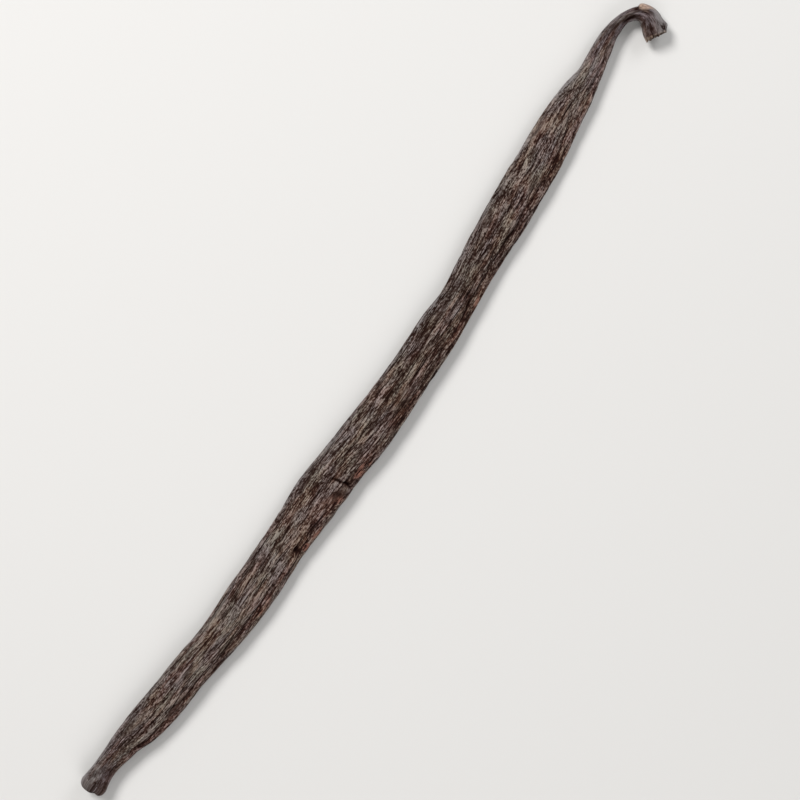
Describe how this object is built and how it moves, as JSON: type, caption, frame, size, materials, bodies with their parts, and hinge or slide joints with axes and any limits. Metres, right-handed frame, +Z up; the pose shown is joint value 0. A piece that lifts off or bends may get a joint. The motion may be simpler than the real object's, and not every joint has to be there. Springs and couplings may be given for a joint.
{
  "type": "vanilla pod",
  "caption": "Long thin dried vanilla pod, wrinkled lengthwise, with a hooked stem end and a blunt blossom end, lying on its flattened underside.",
  "frame": {"origin": "middle of the pod's box, on the surface that the pod lies on", "axes": "+X along the pod, from the blossom end to the hooked stem end; +Y away from the side that the hook points to; +Z up"},
  "size_m": [0.1736, 0.0116, 0.0047],
  "materials": {
    "pod_skin": "dull dark brown skin with a faint oily sheen on its ridges"
  },
  "bodies": {
    "root": {"pod": "pod_skin"}
  },
  "joints": []
}
